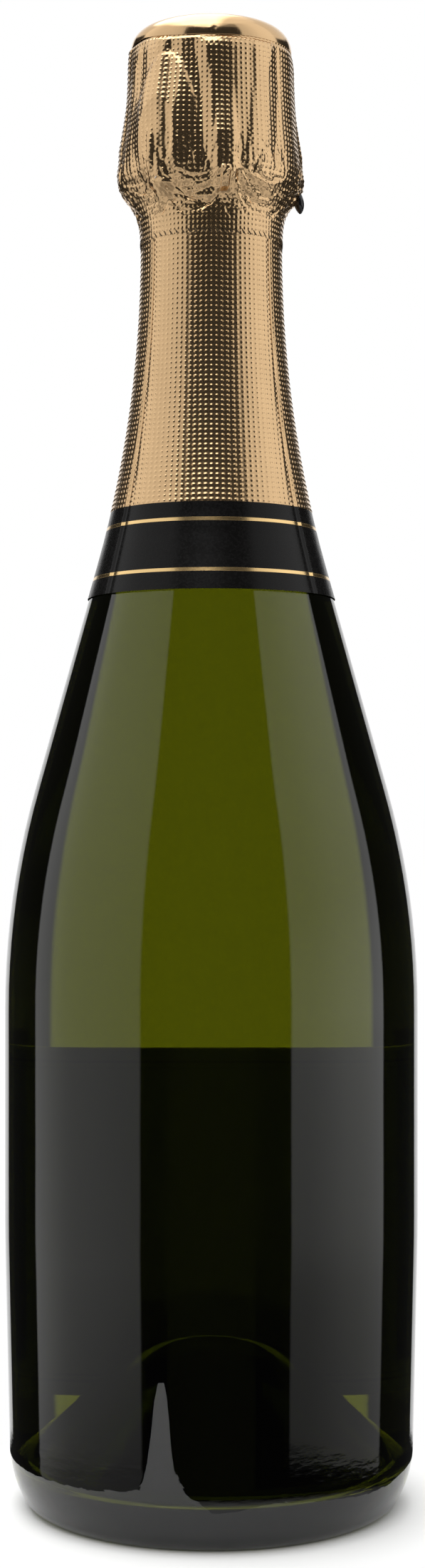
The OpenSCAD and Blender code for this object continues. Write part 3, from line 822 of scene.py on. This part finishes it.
def flutes(a, z):
    """Height of the flutes over the middle sheet, row by row."""
    heights = z[:, 0]
    lines = np.array([np.interp(heights, FLUTE_HEIGHTS, line) for line, _ in FLUTES])
    offsets = np.array([offset for _, offset in FLUTES])
    made = np.empty(a.shape)
    for row in range(len(heights)):
        at = np.concatenate([lines[:, row] - 360, lines[:, row], lines[:, row] + 360])
        values = np.tile(offsets, 3)
        made[row] = sum(
            np.interp(a[row] + shift, at, values) * weight
            for shift, weight in ((-FLUTE_ROUND, 0.25), (0, 0.5), (FLUTE_ROUND, 0.25))
        )
    return made * plateau(z, FLUTE_BOTTOM, FLUTE_TOP)


def creases(a, z):
    """Fine folds where the foil is gathered: they hang like swags between the feet of the wires,
    and run upright above them."""
    rng = np.random.default_rng(CREASE_SEED)
    total = np.zeros(a.shape)
    feet = np.array([LOOP_AZIMUTH] + [LEG_AZIMUTH + 90 * k for k in range(4)])
    for _ in range(CREASE_COUNT):
        middle = rng.uniform(-180, 180)
        height = rng.triangular(*CREASE_HEIGHTS)
        turn = rng.uniform(-1, 1)
        length = rng.uniform(*CREASE_LENGTHS)
        width = rng.uniform(*CREASE_WIDTHS)
        depth = rng.uniform(*CREASE_DEPTHS)
        bend = rng.uniform(*CREASE_BENDS)
        past = angle_from(middle, feet)
        before, after = past[past > 0].min(), -past[past <= 0].max()
        rise = SWAG_SLOPE * (before - after) / (before + after)
        tilt = UPRIGHT_TURN * turn
        if height < GATHER_TOP:
            tilt = math.atan2(1, rise) + SWAG_TURN * turn
        rows = np.flatnonzero(np.abs(z[:, 0] - height) < length + 1)
        columns = np.flatnonzero(np.abs(angle_from(a[0], middle)) < 4 * (length + 1))
        if len(rows) == 0 or len(columns) == 0:
            continue
        part = np.ix_(rows, columns)
        u = np.radians(angle_from(a[part], middle)) * CREASE_R
        v = z[part] - height
        along = v * math.cos(tilt) + u * math.sin(tilt)
        off = u * math.cos(tilt) - v * math.sin(tilt) - bend * along * along
        total[part] += depth * hump(off, 0, width) * hump(along, 0, length)
    return total


def middle_outline(z):
    """Radius of the hood's middle outline at height z, with its corners rounded."""
    heights, radii = zip(*HOOD_PROFILE)
    margin = PROFILE_TRIM * PROFILE_STEP
    fine = np.arange(heights[0] - margin, heights[-1] + margin, PROFILE_STEP)
    reach, half_width = PROFILE_BELL
    bell = hump(np.arange(-reach, reach + 1), 0, half_width)
    smooth = np.convolve(np.interp(fine, heights, radii), bell / bell.sum(), "same")
    kept = slice(PROFILE_TRIM, -PROFILE_TRIM)
    return np.interp(z, fine[kept], smooth[kept])


def leg_foot(a, z):
    """The blunt foot of the leg at LEG_AZIMUTH, pressed through the foil."""
    off = np.abs(angle_from(a, LEG_AZIMUTH))
    return FOOT_RISE * (1 - smooth_step(off, *FOOT_SIDES)) * plateau(z, FOOT_BOTTOM, FOOT_TOP)


def ear_fold(a, z):
    """The fold that stands up beside the loop, steep on one side."""
    off = angle_from(a, EAR_AZIMUTH + EAR_LEAN * smooth_step(z, *EAR_LEAN_Z))
    return EAR_RISE * plateau(off, EAR_STEEP_SIDE, EAR_GENTLE_SIDE) * plateau(z, EAR_BOTTOM, EAR_TOP)


def hood_radius(a, z):
    """Radius of the hood's sheet, without its dots, at azimuth a and height z."""
    ridges = flutes(a, z)
    floor = hood_floor(a, z)
    r = middle_outline(z) + ridges
    for rise, azimuth, half_angle, height, half_height in BULGES:
        r = r + rise * hump(angle_from(a, azimuth), 0, half_angle) * hump(z, height, half_height)
    kept = PRESSED_SHARE + PRESSED_AT_LOOP * hump(angle_from(a, LOOP_AZIMUTH), 0, PRESSED_HALF)
    pressed = floor + kept * (ridges + PRESSED_GAP) * smooth_step(z, *PRESSED_Z)
    corner = CORNER_SOFT + CORNER_SOFTER * smooth_step(z, *CORNER_Z)
    r = soft_max(r, pressed, corner) + leg_foot(a, z)
    lean = HOOD_LEAN * smooth_step(z, *HOOD_LEAN_Z) * np.cos(np.radians(angle_from(a, -90)))
    folds = creases(a, z) * smooth_step(z, *CREASE_FADE_Z)
    r = r + np.maximum(lean, 0) + folds
    r = np.maximum(r, floor + np.maximum(folds, 0)) + ear_fold(a, z)
    foot = disc_foot(a)
    under = smooth_step(z, foot - TUCK_DEPTHS[0], foot - TUCK_DEPTHS[1])
    return r * (1 - under) + np.minimum(r, DISC_R - TUCK_GAP) * under


def make_hood():
    gold = gold_material("gold_hood", 0.16)
    rows = int((HOOD_TOP_Z - TEAR_Z) / ROW_PITCH * HOOD_ROW_SAMPLES)
    z = np.linspace(TEAR_Z, HOOD_TOP_Z, rows + 1)
    count = HOOD_COLUMNS * DOT_SAMPLES
    u = np.arange(count + 1) / DOT_SAMPLES
    a, zz = np.meshgrid(u / HOOD_COLUMNS * 360, z)
    r = hood_radius(a, zz) + dots(np.repeat(u[None, :], len(z), 0), zz / ROW_PITCH)
    points = around(r, a, zz)
    half = count // 2
    for name, start in (("foil_hood_right", 0), ("foil_hood_left", half)):
        part = points[:, start:start + half + 1]
        made = mesh_object(name, part.reshape(-1, 3), grid_faces(len(z), half + 1, False))
        put(made, gold, "hood", "gold_foil")
        if start == 0:
            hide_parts("foil_hood")


SLITS = 66
SLIT_REACH = 1.0
SLIT_LEAN_DEG = 2.6
SLIT_W_DEG = 1.2
SLIT_RISE = 0.12
# Share by which a slit narrows to its ends, and how far it stays from the tear line and the foil
SLIT_TAPER = 0.75
SLIT_START = 0.02
SLIT_PROUD = 0.02


def make_tear_slits():
    """The oblique slits along which the hood tears off, half on the skirt and half on the hood."""
    # The slits carry painted shade: dark strips where the cuts lie open
    shade = slit_shade_material()
    middles = np.arange(SLITS) * 360.0 / SLITS
    for name, body, start, end in (
        ("tear_slits_lower", "bottle", -SLIT_REACH, -SLIT_START),
        ("tear_slits_upper", "hood", SLIT_START, SLIT_REACH),
    ):
        lines = []
        for rise in (start, (start + end) / 2, end):
            azimuth = (middles - SLIT_LEAN_DEG * rise / SLIT_REACH)[None, :]
            height = TEAR_Z + rise + 0 * azimuth
            width = SLIT_W_DEG * (1 - SLIT_TAPER * abs(rise) / SLIT_REACH)
            skin = glass_r(height) + SKIN_GAP + FOIL_T if rise < 0 else hood_radius(azimuth, height)
            for side, lift in ((-width, 0.0), (0.0, SLIT_RISE), (width, 0.0)):
                lines.append(around(skin + SLIT_PROUD + lift, azimuth + side, height)[0])
        points = np.stack(lines, axis=1).reshape(-1, 3)
        faces = np.concatenate([grid_faces(3, 3, False) + 9 * k for k in range(SLITS)])
        made = mesh_object(name, points, faces)
        put(made, shade, body, "gold_foil")


# The tear tab: its place, how far its top leans in, half its depth and width, and its two ends
TAB_AZIMUTH = 97.0
TAB_R = 19.35
TAB_LEAN = -0.9
TAB_HALF = (1.1, 1.7)
TAB_Z = (276.6, 283.6)


def make_tear_tab():
    """The dark lacquered end of the tear strip, a drop that stands out at the right."""
    rows, columns = 20, 24
    t = np.linspace(0.03, 0.97, rows)[:, None]
    turn = np.linspace(0, 2 * math.pi, columns, endpoint=False)[None, :]
    girth = np.sin(np.pi * t ** 1.6) ** 0.75
    out = TAB_R + TAB_LEAN * (1 - t) + TAB_HALF[0] * girth * np.cos(turn)
    across = TAB_HALF[1] * girth * np.sin(turn)
    height = TAB_Z[0] + (TAB_Z[1] - TAB_Z[0]) * (1 - t) + 0 * turn
    made = mesh_object(
        "tear_tab",
        around(out, TAB_AZIMUTH + np.degrees(across / TAB_R), height).reshape(-1, 3),
        grid_faces(rows, columns, True),
    )
    put(made, lacquer_material(), "hood", "black_foil")


DISC_ROUND = 4.1
DISC_SIDE_H = 0.2
DISC_SEGMENTS = 240
# The dent: azimuth, half angle, height, half height and depth
DENT_AZIMUTH = 1.0
DENT_HALF = 2.2
DENT_Z = 310.7
DENT_HALF_H = 0.5
DENT_DEPTH = 0.10


def make_top_disc():
    """The smooth disc that closes the hood, with a small dent in its front edge."""
    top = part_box("foil_top_disc")[1].z / MM
    a = np.arange(DISC_SEGMENTS)[None, :] * 360 / DISC_SEGMENTS - 180
    foot = disc_foot(a)
    t = np.radians(np.linspace(0, 90, 31))[:, None]
    flat = np.linspace(DISC_R - DISC_ROUND, 0, 12)[1:, None]
    side_z = np.concatenate([foot, foot + DISC_SIDE_H / 2])
    dome_z = foot + DISC_SIDE_H + (top - foot - DISC_SIDE_H) * np.sin(t)
    z = np.concatenate([side_z, dome_z, top + 0 * flat + 0 * a])
    r = np.concatenate([0 * side_z + DISC_R, DISC_R - DISC_ROUND * (1 - np.cos(t)) + 0 * a, flat + 0 * a])
    dent = hump(a, DENT_AZIMUTH, DENT_HALF) * hump(z, DENT_Z, DENT_HALF_H)
    r = r - DENT_DEPTH * dent * np.sign(a - DENT_AZIMUTH)
    # The inner face follows the outer one back to the foot, which closes the sheet
    inner_z = z[::-1] - FOIL_T * smooth_step(z[::-1], 310, 314)
    inner_r = np.maximum(r[::-1] - FOIL_T, 0)
    z, r = np.concatenate([z, inner_z, foot]), np.concatenate([r, inner_r, DISC_R + 0 * foot])
    made = mesh_object("foil_disc", around(r, a, z).reshape(-1, 3), grid_faces(len(r), a.size, True))
    merge_doubles(made, 0.004)
    put(made, gold_material("gold_disc", 0.12), "hood", "gold_foil", "foil_top_disc")


def make_label():
    low, high = (corner.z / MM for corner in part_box("front_label"))
    half = math.degrees(LABEL_W / 2 / BODY_R)
    z = np.linspace(low, high, SHEET_ROWS)
    turn = np.linspace(-half, half, SHEET_COLUMNS)
    t, zz = np.meshgrid(turn, z)
    r = glass_r(zz) + SKIN_GAP
    made = mesh_object("label", around(r + LABEL_T, 180 + t, zz).reshape(-1, 3),
                       grid_faces(len(z), len(turn), False))
    solid = made.modifiers.new("thickness", "SOLIDIFY")
    solid.thickness = LABEL_T * MM
    solid.offset = -1
    put(made, paper_material(low, high), "bottle", "label_paper", "front_label")


def dress_cad(names, material):
    for name in names:
        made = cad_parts[name]
        made.data.materials.clear()
        made.data.materials.append(material)


def dress_inner_pieces():
    dress_cad(["wine"], wine_material())
    dress_cad(["cork_body"], cork_material("cork", (0.50, 0.33, 0.19), (0.72, 0.53, 0.34), 450))
    natural = cork_material("natural_cork", (0.45, 0.28, 0.16), (0.56, 0.38, 0.23), 160)
    dress_cad(["cork_disc_upper", "cork_disc_lower"], natural)
    dress_cad(["plaque"], steel_material("cap_steel", (0.80, 0.62, 0.32), 0.25))
    wires = [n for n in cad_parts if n.startswith("cage_")]
    dress_cad(wires, steel_material("cage_wire", (0.72, 0.71, 0.68), 0.28))


# The studio

BACKDROP_HALF = math.radians(26)
BACKDROP_FOOT = (-0.252, -0.242)
BACKDROP_TOP = (0.90, 0.97)
EDGE_SOFT = math.radians(1.0)
STUDIO_DARK = 0.018
# The two tall soft boxes: their azimuths, and their levels across and by the upward direction
LEFT_PANEL = (math.radians(-113), math.radians(-39))
LEFT_ACROSS = [(-113, 1.30), (-104, 1.25), (-85, 1.0), (-60, 0.93), (-39, 0.80)]
LEFT_LEVELS = [
    (-0.60, 0.0), (-0.46, 0.0), (-0.45, 0.27), (-0.30, 0.29), (-0.275, 0.46), (-0.26, 0.57), (-0.235, 0.68),
    (-0.20, 0.76), (0.0, 0.77), (0.2, 0.80), (0.5, 0.86), (0.93, 0.86), (0.97, 0.0),
]
RIGHT_PANEL = (math.radians(44), math.radians(109))
RIGHT_ACROSS = [(44, 0.78), (55, 0.82), (66, 0.95), (78, 1.10), (109, 1.12)]
RIGHT_LEVELS = [
    (-0.30, 0.0), (-0.288, 0.06), (-0.280, 0.40), (-0.235, 0.52), (-0.17, 0.78), (-0.11, 0.95),
    (-0.06, 1.10), (0.08, 1.02), (0.2, 0.88), (0.5, 0.92), (0.93, 0.92), (0.97, 0.0),
]
# The lights above the bottle: middle direction, its cosines where a light starts and is full, and
# level. They fade to a share of it at the sides, by the sideways part of the direction.
TOP_LIGHTS = [
    ((0.0, 0.0, 1.0), 0.62, 0.72, 0.8),
    ((-0.06, -0.44, 0.90), 0.90, 0.935, 2.0),
    ((-0.08, 0.0, 1.0), 0.74, 0.82, 3.0),
    ((-0.10, 0.25, 0.95), 0.84, 0.91, 3.4),
]
TOP_LIGHT_SIDES = [(-0.64, 0.32), (-0.46, 1.0), (0.06, 1.0), (0.22, 0.35)]
# The ceiling beside and behind the bottle: it fades in between two upward parts of the direction,
# to its level, and between two azimuths
CEILING = (0.40, 0.47, 0.85)
CEILING_SIDE = (math.radians(92), math.radians(112))
# The white table that metal sees round the bottle: its level by the upward part of the direction
TABLE = [(-1.0, 0.22), (-0.85, 0.38), (-0.64, 0.74), (-0.50, 0.64), (-0.40, 0.0)]


def window(tree, value, low, high, soft):
    """1 where value lies between low and high, with soft edges."""
    up = ramp(tree, value, low - soft, low + soft)
    down = ramp(tree, value, high - soft, high + soft, 1.0, 0.0)
    return calc(tree, "MULTIPLY", up, down)


def graph(tree, value, points):
    """A value read from straight lines through points (input, output)."""
    first, last = points[0][0], points[-1][0]
    most = max(level for _, level in points)
    share = node(tree, "ShaderNodeMapRange")
    tree.links.new(value, share.inputs["Value"])
    share.inputs["From Min"].default_value = first
    share.inputs["From Max"].default_value = last
    made = node(tree, "ShaderNodeValToRGB")
    tree.links.new(share.outputs["Result"], made.inputs["Fac"])
    stops = made.color_ramp.elements
    for index, (at, level) in enumerate(points):
        inner = 0 < index < len(points) - 1
        stop = stops.new((at - first) / (last - first)) if inner else stops[-1 if index else 0]
        stop.color = (level / most, level / most, level / most, 1.0)
    return calc(tree, "MULTIPLY", made.outputs["Color"], float(most))


def soft_box(tree, azimuth, z, edges, across, levels):
    across = [(math.radians(angle), level) for angle, level in across]
    level = calc(tree, "MULTIPLY", graph(tree, azimuth, across), graph(tree, z, levels))
    return calc(tree, "MULTIPLY", level, window(tree, azimuth, *edges, EDGE_SOFT))


def make_world():
    world = bpy.data.worlds.new("studio")
    bpy.context.scene.world = world
    world.use_nodes = True
    tree = world.node_tree
    background = tree.nodes["Background"]
    direction = node(tree, "ShaderNodeTexCoord").outputs["Generated"]
    split = node(tree, "ShaderNodeSeparateXYZ")
    tree.links.new(direction, split.inputs[0])
    x, y, z = split.outputs
    azimuth = calc(tree, "ARCTAN2", x, calc(tree, "MULTIPLY", y, -1.0))
    side = calc(tree, "ABSOLUTE", azimuth)
    behind = ramp(tree, side, math.pi - BACKDROP_HALF - EDGE_SOFT, math.pi - BACKDROP_HALF + EDGE_SOFT)
    behind = calc(tree, "MULTIPLY", behind, ramp(tree, z, *BACKDROP_FOOT))
    behind = calc(tree, "MULTIPLY", behind, ramp(tree, z, *BACKDROP_TOP, 1.0, 0.0))
    studio = calc(tree, "ADD", behind, STUDIO_DARK)
    studio = calc(tree, "ADD", studio, soft_box(tree, azimuth, z, LEFT_PANEL, LEFT_ACROSS, LEFT_LEVELS))
    studio = calc(tree, "ADD", studio, soft_box(tree, azimuth, z, RIGHT_PANEL, RIGHT_ACROSS, RIGHT_LEVELS))
    for middle, edge, full, level in TOP_LIGHTS:
        near = node(tree, "ShaderNodeVectorMath", operation="DOT_PRODUCT")
        tree.links.new(direction, near.inputs[0])
        near.inputs[1].default_value = Vector(middle).normalized()
        shine = ramp(tree, near.outputs["Value"], edge, full, 0.0, level)
        shine = calc(tree, "MULTIPLY", shine, graph(tree, x, TOP_LIGHT_SIDES))
        studio = calc(tree, "MAXIMUM", studio, shine)
    low, high, level = CEILING
    ceiling = calc(tree, "MULTIPLY", ramp(tree, z, low, high), ramp(tree, side, *CEILING_SIDE, 0.0, level))
    studio = calc(tree, "MAXIMUM", studio, ceiling)
    rays = node(tree, "ShaderNodeLightPath")
    table = calc(tree, "MULTIPLY", graph(tree, z, TABLE), rays.outputs["Is Glossy Ray"])
    studio = calc(tree, "MAXIMUM", studio, table)
    front = ramp(tree, side, BACKDROP_HALF - EDGE_SOFT, BACKDROP_HALF + EDGE_SOFT, 1.0, 0.0)
    front = calc(tree, "MULTIPLY", front, rays.outputs["Is Transmission Ray"])
    studio = calc(tree, "MAXIMUM", studio, front)
    level = node(tree, "ShaderNodeMix", data_type="FLOAT")
    tree.links.new(rays.outputs["Is Camera Ray"], level.inputs["Factor"])
    tree.links.new(studio, level.inputs[2])
    level.inputs[3].default_value = 1.0
    background.inputs["Color"].default_value = (1, 1, 1, 1)
    tree.links.new(level.outputs[0], background.inputs["Strength"])


# The white plate under the bottle: its edge as (azimuth, radius)
PLATE_EDGE = [
    (-180, 62), (-105, 64), (-75, 66), (-50, 69), (-35, 76), (-29, 82), (-26.5, 170), (-22, 170),
    (-17, 105), (-9, 76), (0, 54), (10, 56), (24, 62), (40, 58), (60, 54), (78, 54), (100, 58), (180, 62),
]
FLOOR_R = 260.0
FLOOR_FADE = (44.5, 68.0)
FLOOR_FRONT = 105.0
FLOOR_RINGS = 8


def floor_material():
    """Pale matt floor that fades into the white background with distance, and keeps its shadow."""
    material, tree, shader = new_material("floor", Roughness=0.9, Specular_IOR_Level=0.1)
    speckle = noise(tree, 30, 4.0)
    tree.links.new(blend_colours(tree, speckle, (0.90, 0.90, 0.895), (0.93, 0.93, 0.925)),
                   shader.inputs["Base Color"])
    place = node(tree, "ShaderNodeVectorMath", operation="LENGTH")
    tree.links.new(object_place(tree), place.inputs[0])
    far = ramp(tree, place.outputs["Value"], FLOOR_FADE[0] * MM, FLOOR_FADE[1] * MM)
    rays = node(tree, "ShaderNodeLightPath")
    seen = calc(tree, "MAXIMUM", rays.outputs["Is Camera Ray"], rays.outputs["Is Transmission Ray"])
    glow = node(tree, "ShaderNodeEmission")
    mix = node(tree, "ShaderNodeMixShader")
    tree.links.new(calc(tree, "MULTIPLY", far, seen), mix.inputs[0])
    tree.links.new(shader.outputs[0], mix.inputs[1])
    tree.links.new(glow.outputs[0], mix.inputs[2])
    tree.links.new(mix.outputs[0], tree.nodes["Material Output"].inputs["Surface"])
    return material


def make_floor():
    """A plate under the bottle and the floor round it. Only the plate shows in reflections."""
    material = floor_material()
    sectors = [
        ("floor_plate", -180.0, 180.0),
        ("floor_front", -FLOOR_FRONT, FLOOR_FRONT),
        ("floor_back", FLOOR_FRONT, 360.0 - FLOOR_FRONT),
    ]
    azimuths, edges = zip(*PLATE_EDGE)
    for name, start, end in sectors:
        a = np.linspace(start, end, 241)
        edge = np.interp(angle_from(a, 0), azimuths, edges)
        outer, inner = (edge, 0 * edge) if name == "floor_plate" else (0 * edge + FLOOR_R, edge)
        share = np.linspace(0, 1, FLOOR_RINGS)[:, None]
        r = outer[None, :] * (1 - share) + inner[None, :] * share
        made = mesh_object(
            name, around(r, a[None, :], 0 * r).reshape(-1, 3), grid_faces(FLOOR_RINGS, len(a), False))
        merge_doubles(made, 0.01)
        made.data.materials.append(material)
        made.visible_glossy = name == "floor_plate"
        made.visible_transmission = False


def fill_lamp(name, place, target, size, power):
    """A soft lamp that lights surfaces but shows in no reflection."""
    lamp = bpy.data.lights.new(name, "AREA")
    lamp.shape = "DISK"
    lamp.size = size
    lamp.energy = power
    made = bpy.data.objects.new(name, lamp)
    bpy.context.scene.collection.objects.link(made)
    made.location = place
    made.rotation_euler = (Vector(target) - Vector(place)).to_track_quat("-Z", "Y").to_euler()
    made.visible_glossy = False
    made.visible_transmission = False
    made.visible_camera = False


def make_camera():
    camera = bpy.data.cameras.new("camera")
    made = bpy.data.objects.new("camera", camera)
    bpy.context.scene.collection.objects.link(made)
    made.location = (0, -0.527, 0.145)
    made.rotation_euler = (math.pi / 2, 0, 0)
    camera.sensor_width = 36
    camera.lens = 56.35
    camera.shift_x = 0.0007
    camera.shift_y = 0.026
    camera.clip_start = 0.01
    camera.clip_end = 20
    bpy.context.scene.camera = made


make_camera()
make_world()
make_floor()
fill_lamp("front_fill", (0.0, -1.6, 0.9), (0, 0, 0.15), 1.2, 12)
fill_lamp("top_fill", (0.0, 0.2, 1.8), (0, 0, 0), 1.4, 3)
bpy.context.scene.view_settings.view_transform = "Standard"
bpy.context.scene.cycles.use_denoising = True

make_glass()
make_skirt()
make_border()
make_hood()
make_tear_slits()
make_tear_tab()
make_top_disc()
make_label()
dress_inner_pieces()
